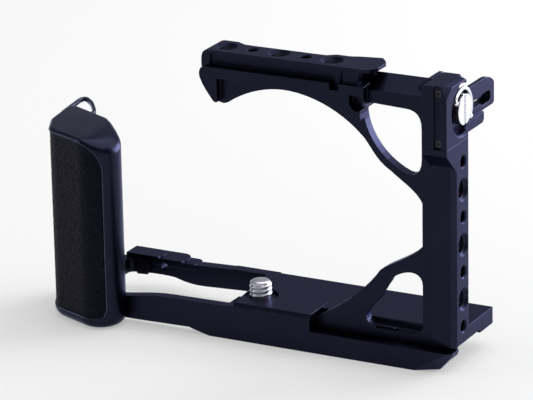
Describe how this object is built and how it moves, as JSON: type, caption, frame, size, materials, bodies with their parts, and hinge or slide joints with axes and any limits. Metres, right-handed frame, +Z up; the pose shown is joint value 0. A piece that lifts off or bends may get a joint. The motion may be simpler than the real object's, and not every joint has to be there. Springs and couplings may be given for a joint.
{
  "type": "camera cage",
  "caption": "Open metal half cage that screws under a compact camera, with a side handle, a top accessory rail, a drilled side pillar and a folding strap ring.",
  "frame": {"origin": "on the camera screw's axis at the base plate's top face", "axes": "+X along the plate towards the drilled pillar, +Y away from the cage's front, +Z up along the camera screw"},
  "size_m": [0.1304, 0.0426, 0.0825],
  "materials": {
    "anodised": "satin black anodised",
    "grip_metal": "smooth satin black",
    "cover_metal": "satin black anodised",
    "grip_skin": "leather-grained",
    "filler": "moulded",
    "bright_steel": "polished",
    "spring_steel": "plain",
    "dark_steel": "blackened"
  },
  "bodies": {
    "cage": {"base_plate": "anodised", "front_frame": "anodised", "side_block": "anodised", "strap_bracket": "anodised", "grip_shell": "grip_metal", "grip_pad": "grip_skin", "grip_core": "filler", "grip_cover": "cover_metal", "grip_cover_screws": "dark_steel", "front_arm_screws": "dark_steel", "back_arm_screws": "dark_steel", "frame_screws": "dark_steel", "frame_dowels": "spring_steel", "block_screws": "dark_steel", "bracket_dowel": "spring_steel"},
    "camera_screw_turning": {"camera_screw": "bright_steel", "camera_screw_clip": "spring_steel", "camera_screw_washer": "spring_steel"},
    "lock_screw_turning": {"lock_screw": "bright_steel", "ring_pin": "bright_steel", "lock_clip": "spring_steel"},
    "strap_ring": {"lock_ring": "bright_steel"}
  },
  "joints": [
    {"name": "camera_screw_turn", "type": "hinge", "parent": "cage", "child": "camera_screw_turning", "pos_m": [0, 0, 0], "axis": [0, 0, 1], "continuous": true},
    {"name": "lock_screw_turn", "type": "hinge", "parent": "cage", "child": "lock_screw_turning", "pos_m": [0.0629, -0.0011, 0.0626], "axis": [1, 0, 0], "continuous": true},
    {"name": "strap_ring_fold", "type": "hinge", "parent": "lock_screw_turning", "child": "strap_ring", "pos_m": [0.0625, -0.0011, 0.0626], "axis": [0, 0.8387, -0.5446], "range_deg": [0, 178]}
  ]
}
